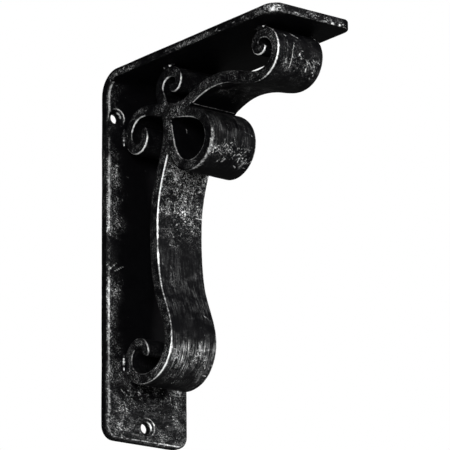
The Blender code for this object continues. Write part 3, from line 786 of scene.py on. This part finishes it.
def screwDrill(name, across, drop):
    # countersunk drill with a softened rim, turned on the hole's axis
    bore, mouth, thick = plate["screwHole"] / 2, plate["sink"] / 2, plate["thick"]
    deep, soft, past = plate["sinkDepth"], plate["sinkArris"], plate["drillPast"]
    slope = (plate["sink"] - plate["screwHole"]) / 2 / deep
    cone = [(bore + rise * slope, thick - deep + rise) for rise in plate["coneSteps"]]
    rim = [(mouth + soft * out, thick + soft * up) for out, up in plate["rimSteps"]]
    profile = ((bore, -past), *cone, (mouth - soft * slope, thick - soft), *rim, (rim[-1][0], thick + past))
    turns = np.linspace(0, 2 * math.pi, plate["drillTurns"], endpoint=False)
    return loftRings(name, [toWorld(across + radius * np.cos(turns), np.full(len(turns), depth),
                                    drop + radius * np.sin(turns)) for radius, depth in profile])


def makePlate():
    stations = plateStations()
    arris = np.full(len(stations[0]), plate["arris"])
    slots = sectionSlots(plate["facing"], plate["edging"], plate["roundSteps"])
    piece = sweepFlat("rubbed_wall_and_top_plate", (*stations, arris, arris), slots, plate)[0]
    for number, (across, drop, *_) in enumerate(plate["screws"]):
        drill = screwDrill("drill_%d" % number, across, drop)
        hole = piece.modifiers.new("screw hole", "BOOLEAN")
        hole.operation = "DIFFERENCE"
        hole.solver = "EXACT"
        hole.object = drill
        bpy.context.view_layer.update()
        bored = bpy.data.meshes.new_from_object(piece.evaluated_get(bpy.context.evaluated_depsgraph_get()))
        piece.modifiers.clear()
        piece.data = bored
        bpy.data.objects.remove(drill, do_unlink=True)
    piece.data.name = piece.name
    dressPlate(piece)
    return piece


def plateWhere(piece):
    # where each point of the plate lies, and how far it is from faces, sides and ends
    thick, bend, corner = plate["thick"], plate["bendRadius"], plate["cornerRadius"]
    slack = 2.0            # how far past the plate's faces and the bend's middle still counts as wall
    scrollShare = 0.3      # share of the thickness that counts as the face towards the scrolls
    sideDeep = 0.3         # how far in from the outline counts as the side face
    spots = np.empty(len(piece.data.vertices) * 3, np.float32)
    piece.data.vertices.foreach_get("co", spots)
    spots = spots.reshape(-1, 3).astype(float) / mm
    across, depth, drop = spots[:, 0], -spots[:, 1], topFace - spots[:, 2]
    half = (plateHigh.x - plateLow.x) / mm / 2
    inBend = (drop < bend) & (depth < bend)
    onWall = ((drop > bend) & (depth < thick + slack)) | (inBend & (drop > depth - slack))
    inner = np.where(onWall, thick - depth, thick - drop)        # below the scroll-side face
    inner = np.where(inBend, np.hypot(bend - depth, bend - drop) - bend + thick, inner)
    toSide = half - np.abs(across)
    foot = (plateHigh.z - plateLow.z) / mm - drop
    tip = (plateHigh.y - plateLow.y) / mm - depth
    toEnd = np.where(onWall, foot, tip)
    # round the corners both distances run along the curve
    toCurve = corner - np.hypot(np.clip(corner - toSide, 0, None), np.clip(corner - toEnd, 0, None))
    toOutline = np.where((toSide < corner) & (toEnd < corner), toCurve, np.minimum(toSide, toEnd))
    onSide = toSide < sideDeep
    return SimpleNamespace(across=across, depth=depth, drop=drop, half=half, onWall=onWall, inner=inner,
                           outer=thick - inner, toSide=toSide, toEnd=toEnd, toOutline=toOutline, foot=foot,
                           tip=tip, near=across < 0, scrollFace=inner < thick * scrollShare,
                           onSide=onSide, onOutline=(toOutline < sideDeep) & ~onSide)


def plateWorn(at):
    # bright lines on the arrises; the near one on the wall runs just inside, on the scroll side, where it is
    # wax and a painted highlight of the rounded arris both
    inside = np.clip(np.abs(at.toOutline - plate["lineIn"]) - plate["lineInFlat"], 0, None)
    offLine = np.where(at.near & at.onWall, inside, np.clip(at.toOutline, 0, None) * plate["wearIn"])
    toArris = np.hypot(offLine, np.clip(at.inner, 0, None) * plate["wearOver"])
    nearLine = np.where(at.onWall, onGraph(plate["wallLine"], at.drop),
                        onGraph(plate["armLine"], at.depth))
    sideLine = np.where(at.near, nearLine, np.where(at.onWall, *plate["farLine"]))
    wider = np.where(at.near, plate["nearWider"], plate["farWider"])
    fade = plate["lineFade"] + wider * sideLine
    sideLine = sideLine * fadePast(toArris, plate["lineFlat"], fade)
    sideLine = sideLine * ((at.toSide < at.toEnd) | ~at.onWall)

    offFoot = (at.toOutline - plate["footLineIn"]) / plate["footLineWide"]
    footLine = onGraph(plate["footLine"], at.across) * np.exp(-offFoot ** 2)
    footLine = footLine * (at.onWall & at.scrollFace & (at.foot < plate["cornerRadius"]))
    toTip = np.hypot(np.clip(at.toEnd, 0, None), np.clip(at.inner, 0, None) * plate["tipOver"])
    tipLine = onGraph(plate["tipLine"], at.across) * fadePast(toTip, *plate["tipLineFade"]) * ~at.onWall
    toBack = np.hypot(np.clip(at.toSide, 0, None), np.clip(at.outer, 0, None))
    backLine = plate["backLine"] * fadePast(toBack, *plate["backLineFade"])
    return np.max((sideLine, footLine, tipLine, backLine), axis=0)


def plateRubbed(at, footRub):
    # haze on the faces, the side faces and the ends
    band = onGraph(plate["band"], at.drop) * fadePast(at.toSide, *plate["bandFade"])
    band = band * np.where(at.near, 1.0, plate["farBand"])
    besideLine = onGraph(plate["besideLine"], at.drop)
    band = band * (1 + besideLine * np.exp(-(at.toSide / plate["besideWide"]) ** 2))
    # the wall face behind the scrolls and the arm's underside stay nearly bare: less wax, and painted shade
    # where the arm and scrolls shade them
    face = np.where(at.onWall, np.maximum(footRub, band), plate["underArm"])
    rubbed = np.where(at.scrollFace, face, plate["outside"])
    low = smoothStep(*plate["armSideLow"], at.outer)
    low = plate["armSideTop"] + (1 - plate["armSideTop"]) * low
    armSide = np.maximum(low, smoothStep(*plate["armSideTip"], at.depth))
    armSide = onGraph(plate["armSide"], at.depth) * armSide
    side = np.where(at.onWall, onGraph(plate["wallSide"], at.drop), armSide)
    rubbed = np.where(at.onSide, side, rubbed)
    return np.where(at.onOutline, np.where(at.onWall, *plate["endRub"]), rubbed)


def dressPlate(piece):
    # the plate's wear is worked out from where each point lies
    at = plateWhere(piece)
    footRub = smoothStep(*plate["footFrom"], at.drop) * plate["footRub"]
    worn, rubbed = plateWorn(at), plateRubbed(at, footRub)
    offCorner = np.stack((at.across + at.half, at.tip, at.outer), -1) - plate["cornerAt"]
    offCorner = np.linalg.norm(offCorner / plate["cornerStretch"], axis=-1)
    bare, haze = [strength * np.exp(-(offCorner / size) ** 2)
                  for strength, size in (plate["cornerWorn"], plate["cornerRubbed"])]
    worn = np.where(at.onWall, worn, np.maximum(worn, bare))
    rubbed = np.where(at.onWall, rubbed, rubbed + haze)
    for key, onFace, along, over, sharpShare, softShare in (
            ("footMarks", at.onWall & at.scrollFace, at.drop, at.across, 1.0, 1.0),
            ("sideMarks", at.onSide & ~at.onWall & at.near, at.depth, at.outer, 1.0, 0.0),
            ("endMarks", ~at.onWall & (at.tip < plate["endDeep"]), at.across, at.outer, 0.8, 1.0)):
        soft, sharp = paintMarks(along, over, *plate[key])
        worn = np.where(onFace, np.maximum(worn, sharpShare * sharp), worn)
        rubbed = np.where(onFace, rubbed + softShare * soft, rubbed)

    atBack = at.outer <= plate["backDeep"]
    # painted highlight: the right-hand side of each countersink, where the light falls, is painted bright
    # over the rim's wax
    for across, drop, coneLitSheen, sheenFocus, rimWax, rimLitSheen, lean in plate["screws"]:
        fromHole = np.hypot(at.across - across, at.drop - drop)
        pastRim = fromHole - plate["sink"] / 2
        rise = math.radians(lean)
        # how far round towards the lit side a point lies; it sets the painted highlight
        facing = np.clip((at.across - across) * math.cos(rise) - (at.drop - drop) * math.sin(rise), 0, None)
        facing = facing / np.clip(fromHole, 0.1, None)      # never by nothing
        rim = fadePast(np.abs(pastRim - plate["rimOut"]), *plate["rimFade"])
        cone = np.exp(-((fromHole - plate["coneAt"]) / plate["coneWide"]) ** 2)
        # wax round the rim, with the painted highlight on the lit side
        rimWaxAndSheen = np.maximum(rim * (rimWax + rimLitSheen * facing), coneLitSheen * cone * facing ** sheenFocus)
        rimWaxAndSheen = np.where(pastRim > plate["rimKeeps"], np.maximum(rimWaxAndSheen, worn), rimWaxAndSheen)
        nearHole = at.onWall & (pastRim < plate["rimReach"]) & ~atBack
        worn = np.where(nearHole, rimWaxAndSheen, worn)
        rubbed = np.where(at.onWall & (pastRim < -plate["rimOut"]), plate["holeRub"], rubbed)
    streaked = np.where(at.onWall & at.scrollFace, footRub * plate["footStreak"], 0.0)
    down = at.drop - plate["wipedRound"]
    turned = np.arctan2(at.across, down) * plate["turnLong"]
    coat(piece, worn, rubbed, streaked, np.stack((turned, np.hypot(at.across, down), at.inner), -1) * mm)


wallPlate = makePlate()
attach(wallPlate, "root")
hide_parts("wall_and_top_plate")
print("plate bent and drilled")


# Weld beads: a row of overlapping ripples in the corner between a curl's edge and the plate

weld = {"length": 9.0, "leg": 1.7, "endLeg": 0.6, "steps": 72, "roundSteps": 9,
        "ripple": 1.5, "rippleDepth": 0.35, "rippleLean": 0.35,
        # how far the hidden side lies inside the curl and the plate, and how high up the curl it ends
        "inCurl": 0.6, "inPlate": 0.35, "upCurl": 0.9,
        "hollowWax": 0.55, "rubbed": 0.3}      # wax kept between the ripples, haze


def touchPlace(bar, against):
    # where on the plate a curl touches it
    depth, drop, _ = walkBar(bar, np.arange(*bar["ends"], walkStep))
    return drop[depth.argmin()] if against == "wall" else depth[drop.argmin()]


def weldBead(name, bar, against, side, marks):
    centre = touchPlace(bar, against)
    share = np.linspace(0, 1, weld["steps"] + 1)
    along = centre + (share - 0.5) * weld["length"]
    leg = weld["endLeg"] + (weld["leg"] - weld["endLeg"]) * np.sin(math.pi * share)
    wave = np.abs(np.sin(math.pi * along / weld["ripple"]))
    leg = leg - weld["rippleDepth"] * (1 - wave) * np.sin(math.pi * share)
    angles = np.linspace(0, math.pi / 2, weld["roundSteps"])
    rings = []
    for at, size in zip(along, leg):
        lean = weld["rippleLean"] * math.cos(2 * math.pi * at / weld["ripple"])
        across = np.concatenate(([-weld["inCurl"]], np.cos(angles) * size, [-weld["inCurl"]]))
        up = np.concatenate(([-weld["inPlate"]], np.sin(angles) * size, [size * weld["upCurl"]]))
        spread = np.concatenate(([0.0], np.sin(2 * angles) * lean, [0.0]))
        off = plate["thick"] + up
        spots = (off, at + spread) if against == "wall" else (at + spread, off)
        rings.append(toWorld(side * (barWidth / 2 + across), *spots))
    piece = loftRings(name, rings)
    # each mark: how far along from the middle, half length, strength
    waxed = sum(strength * np.exp(-((along - centre - at) / long) ** 2) for at, long, strength in marks)
    waxed = waxed * (weld["hollowWax"] + (1 - weld["hollowWax"]) * wave)
    middle = np.concatenate(([0.0], np.sin(2 * angles) ** 2, [0.0]))
    worn = np.outer(waxed, middle).ravel()
    coat(piece, worn, np.full(len(worn), weld["rubbed"]), np.zeros(len(worn)), np.vstack(rings))
    return piece


for place, bar, against, marks in (
        ("bottom_curl", longScroll, "wall", ((-0.3, 2.9, 0.95), (3.8, 0.8, 1.1))),
        ("upper_curl", longScroll, "top", ((-2.0, 0.7, 0.5), (2.6, 0.8, 1.1))),
        ("wall_curl", wallCurl, "wall", ((1.8, 1.6, 0.7), (4.0, 0.6, 1.1))),
        ("tip_curl", topScroll, "top", ((-1.5, 0.8, 0.4), (3.0, 0.9, 1.1)))):
    for hand, side in (("left", nearSide), ("right", farSide)):
        bead = weldBead("rippled_weld_%s_%s" % (place, hand), bar, against, side, marks)
        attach(bead, "root")
        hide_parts("weld_%s_%s" % (place, hand))
print("beads laid")


# Where two bars were forged together the corner between them is filled with a small hollow curve.
# The outline runs round the fill in the side view, as (depth, drop); the first part is the hollow.
# Its side edges are softened: rounding is (in from the side, in from the outline). Rubbed goes from
# the near side to the far one.

fills = {
    "above_top_scroll": {
        "node": "top_scroll", "setBack": 0.1,
        "hollow": ((38.8, 19.5), (39.6, 22.0), (40.6, 23.6), (42.5, 24.9), (45.5, 25.6), (50.0, 25.9),
                   (54.0, 25.7), (57.0, 25.1)),
        "buried": ((56.0, 28.5), (48.0, 30.0), (41.0, 30.0), (37.5, 26.0)),
        "rounding": ((0.0, 0.5), (0.15, 0.2), (0.5, 0.0)), "rubbed": (0.8, 0.8, 0.1, 0.1, 0.4, 0.4),
    },
}


def forgeFill(name, fill):
    outline = np.array(fill["hollow"] + fill["buried"])
    toMiddle = outline.mean(axis=0) - outline
    toMiddle = toMiddle / np.hypot(*toMiddle.T)[:, None]
    half = barWidth / 2 - fill["setBack"]
    edges = [(inSide - half, inward) for inSide, inward in fill["rounding"]]
    edges += [(half - inSide, inward) for inSide, inward in reversed(fill["rounding"])]
    rings = []
    for across, inward in edges:
        spots = outline + toMiddle * inward
        rings.append(toWorld(np.full(len(spots), across), *spots.T))
    piece = loftRings(name, rings)
    rubbed = np.repeat(fill["rubbed"], len(outline))
    coat(piece, np.zeros(len(rubbed)), rubbed, np.zeros(len(rubbed)), np.vstack(rings))
    return piece


for place, fill in fills.items():
    piece = forgeFill("forged_corner_%s" % place, fill)
    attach(piece, "root")
    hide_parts(fill["node"])
print("corners filled")


# Studio

camera = {"place": (-1.06117, -1.42127, -0.49344), "yaw": 38.118, "pitch": 16.124, "roll": -0.424,
          "lens": 291.0, "sensor": 36.0, "clip": (0.05, 30.0)}


def makeCamera():
    lens = bpy.data.cameras.new("camera")
    lens.lens = camera["lens"]
    lens.sensor_width = camera["sensor"]
    lens.clip_start, lens.clip_end = camera["clip"]
    holder = bpy.data.objects.new("camera", lens)
    bpy.context.scene.collection.objects.link(holder)
    yaw, pitch, roll = (math.radians(camera[key]) for key in ("yaw", "pitch", "roll"))
    ahead = Vector((math.sin(yaw) * math.cos(pitch), math.cos(yaw) * math.cos(pitch), math.sin(pitch)))
    right = Vector((math.cos(yaw), -math.sin(yaw), 0.0))
    up = right.cross(ahead)
    rightTurned = right * math.cos(roll) + up * math.sin(roll)
    upTurned = up * math.cos(roll) - right * math.sin(roll)
    turn = Matrix((rightTurned, upTurned, -ahead)).transposed().to_4x4()
    holder.matrix_world = Matrix.Translation(camera["place"]) @ turn
    bpy.context.scene.camera = holder


makeCamera()

studio = {
    "floorDrop": 1.6, "floorSize": 14.0, "floorColour": "e6e6e4", "floorRough": 0.9, "floorGlow": 0.9,
    "backdrop": 1.0, "surround": 0.06,
    "lights": (
        # name, place, aimed at, size, watts
        ("front softbox", (-1.5, -1.7, 0.1), (0.0, -0.05, 0.0), 0.7, 60.0),
        ("right softbox", (0.5, -1.9, 0.6), (0.0, -0.05, 0.0), 0.7, 50.0),
        ("high softbox", (-0.5, -0.5, 1.7), (0.0, -0.05, 0.0), 0.9, 20.0),
        ("back softbox", (0.9, 1.5, 0.4), (0.0, -0.05, 0.0), 0.9, 45.0),
    ),
    # these only lift the back, and leave no reflection in the lacquer
    "soft": ("back softbox",),
}


def makeStudio():
    world = bpy.data.worlds.new("white studio")
    bpy.context.scene.world = world
    world.use_nodes = True
    tree = world.node_tree
    tree.nodes.clear()
    seen = addNode(tree, "LightPath").outputs["Is Camera Ray"]
    strength = addNode(tree, "MapRange", {"To Min": studio["surround"], "To Max": studio["backdrop"]},
                       {"Value": seen}).outputs["Result"]
    sky = addNode(tree, "Background", {"Color": (1, 1, 1, 1)}, {"Strength": strength}).outputs[0]
    addNode(tree, "OutputWorld", None, {"Surface": sky})
    for name, place, target, size, watts in studio["lights"]:
        lamp = bpy.data.lights.new(name, "AREA")
        lamp.size = size
        lamp.energy = watts
        holder = bpy.data.objects.new(name, lamp)
        bpy.context.scene.collection.objects.link(holder)
        holder.location = place
        holder.rotation_mode = "QUATERNION"
        holder.rotation_quaternion = (Vector(target) - Vector(place)).to_track_quat("-Z", "Y")
        if name in studio["soft"]:
            holder.visible_glossy = False
    half = studio["floorSize"] / 2
    low = cadLow.z - studio["floorDrop"]
    corners = [(x * half, y * half, low) for x, y in ((-1, -1), (1, -1), (1, 1), (-1, 1))]
    floor = meshPiece("studio_floor", corners, [(0, 1, 2, 3)])
    pale = bpy.data.materials.new("matt_paper_floor")
    pale.use_nodes = True
    shader = pale.node_tree.nodes["Principled BSDF"]
    shader.inputs["Base Color"].default_value = hexColour(studio["floorColour"])
    shader.inputs["Roughness"].default_value = studio["floorRough"]
    shader.inputs["Emission Color"].default_value = hexColour(studio["floorColour"])
    # the paper looks evenly pale, and doesn't light the bracket from below
    seen = addNode(pale.node_tree, "LightPath").outputs["Is Camera Ray"]
    glow = addNode(pale.node_tree, "MapRange", {"To Max": studio["floorGlow"]},
                   {"Value": seen}).outputs["Result"]
    pale.node_tree.links.new(glow, shader.inputs["Emission Strength"])
    floor.data.materials.append(pale)
    bpy.context.scene.view_settings.view_transform = "Standard"


makeStudio()
print("studio lit")
